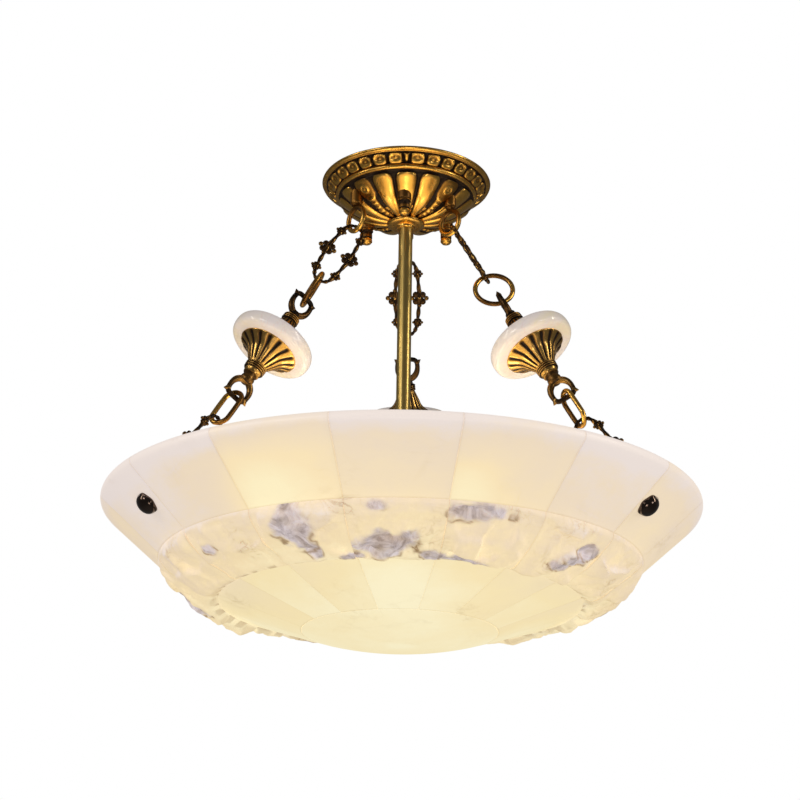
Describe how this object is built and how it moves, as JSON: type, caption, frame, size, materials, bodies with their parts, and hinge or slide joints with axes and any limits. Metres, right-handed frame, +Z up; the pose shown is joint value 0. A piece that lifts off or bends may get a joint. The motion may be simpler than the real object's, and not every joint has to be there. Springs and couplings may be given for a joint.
{
  "type": "semi-flush bowl ceiling light",
  "caption": "Wide bowl of pale stone blocks hung below a round fluted brass canopy on link arms with bells and stone discs, around a central rod that carries lampholders.",
  "frame": {"origin": "on the ceiling plane, at the centre of the canopy and of its screw holes", "axes": "+Z up to the ceiling, -Y to the front as pictured, +X to the right"},
  "size_m": [0.5, 0.5, 0.4195],
  "materials": {
    "bowl_stone": "polished",
    "rough_stone": "rough",
    "disc_stone": "polished",
    "canopy_brass": "antique",
    "bell_brass": "antique",
    "dark_brass": "antique",
    "rod_brass": "satin",
    "plate_steel": "zinc plated",
    "terminal_plastic": "matte",
    "holder_ceramic": "glazed",
    "bulb_cap_metal": "satin",
    "bulb_glass": "frosted"
  },
  "bodies": {
    "fixture": {"canopy_shell": "canopy_brass", "mounting_plate": "plate_steel", "plate_studs": "plate_steel", "canopy_cap_nuts": "canopy_brass", "canopy_eyes": "canopy_brass", "canopy_eye_nuts": "plate_steel", "stem_collar": "canopy_brass", "stem_rod": "rod_brass", "stem_nut": "plate_steel", "terminal_block": "terminal_plastic", "lamp_hub": "rod_brass", "lamp_hub_nut": "rod_brass", "holder_nipples": "rod_brass", "lampholders": "holder_ceramic"},
    "arm_back": {"arm_back_upper_link": "dark_brass", "arm_back_ring": "dark_brass", "arm_back_upper_yoke": "bell_brass", "arm_back_upper_bell": "bell_brass", "arm_back_stone_disc": "disc_stone", "arm_back_lower_bell": "bell_brass", "arm_back_spindle": "rod_brass", "arm_back_lower_yoke": "bell_brass", "arm_back_oval_link": "dark_brass", "arm_back_lower_link": "dark_brass"},
    "arm_left": {"arm_left_upper_link": "dark_brass", "arm_left_ring": "dark_brass", "arm_left_upper_yoke": "bell_brass", "arm_left_upper_bell": "bell_brass", "arm_left_stone_disc": "disc_stone", "arm_left_lower_bell": "bell_brass", "arm_left_spindle": "rod_brass", "arm_left_lower_yoke": "bell_brass", "arm_left_oval_link": "dark_brass", "arm_left_lower_link": "dark_brass"},
    "arm_right": {"arm_right_upper_link": "dark_brass", "arm_right_ring": "dark_brass", "arm_right_upper_yoke": "bell_brass", "arm_right_upper_bell": "bell_brass", "arm_right_stone_disc": "disc_stone", "arm_right_lower_bell": "bell_brass", "arm_right_spindle": "rod_brass", "arm_right_lower_yoke": "bell_brass", "arm_right_oval_link": "dark_brass", "arm_right_lower_link": "dark_brass"},
    "bowl": {"bowl_upper_staves": "bowl_stone", "bowl_rough_blocks": "rough_stone", "bowl_lower_staves": "bowl_stone", "bowl_centre_disc": "bowl_stone", "bowl_eye_bolts": "dark_brass", "bowl_inner_washers": "dark_brass", "bowl_dome_nuts": "dark_brass"},
    "bulb_1": {"bulb_1_cap": "bulb_cap_metal", "bulb_1_globe": "bulb_glass"},
    "bulb_2": {"bulb_2_cap": "bulb_cap_metal", "bulb_2_globe": "bulb_glass"},
    "bulb_3": {"bulb_3_cap": "bulb_cap_metal", "bulb_3_globe": "bulb_glass"}
  },
  "joints": [
    {"name": "bowl_twist", "type": "hinge", "parent": "fixture", "child": "bowl", "pos_m": [0, 0, -0.3315], "axis": [0, 0, 1], "range_deg": [-8, 8]},
    {"name": "arm_back_swing", "type": "hinge", "parent": "fixture", "child": "arm_back", "pos_m": [0.00175, 0.04997, -0.0573], "axis": [0, 0, 1], "range_deg": [-11, 11]},
    {"name": "arm_left_swing", "type": "hinge", "parent": "fixture", "child": "arm_left", "pos_m": [-0.04415, -0.02347, -0.0573], "axis": [0, 0, 1], "range_deg": [-11, 11]},
    {"name": "arm_right_swing", "type": "hinge", "parent": "fixture", "child": "arm_right", "pos_m": [0.0424, -0.0265, -0.0573], "axis": [0, 0, 1], "range_deg": [-11, 11]},
    {"name": "bulb_1_draw", "type": "slide", "parent": "fixture", "child": "bulb_1", "axis": [0.8829, 0.4695, 0], "range_m": [0, 0.022]},
    {"name": "bulb_2_draw", "type": "slide", "parent": "fixture", "child": "bulb_2", "axis": [-0.848, 0.5299, 0], "range_m": [0, 0.022]},
    {"name": "bulb_3_draw", "type": "slide", "parent": "fixture", "child": "bulb_3", "axis": [-0.0349, -0.9994, 0], "range_m": [0, 0.022]}
  ],
  "couplings": [
    {"joint": "arm_back_swing", "follows": "bowl_twist", "ratio": 1.3292},
    {"joint": "arm_left_swing", "follows": "bowl_twist", "ratio": 1.3292},
    {"joint": "arm_right_swing", "follows": "bowl_twist", "ratio": 1.3292}
  ]
}
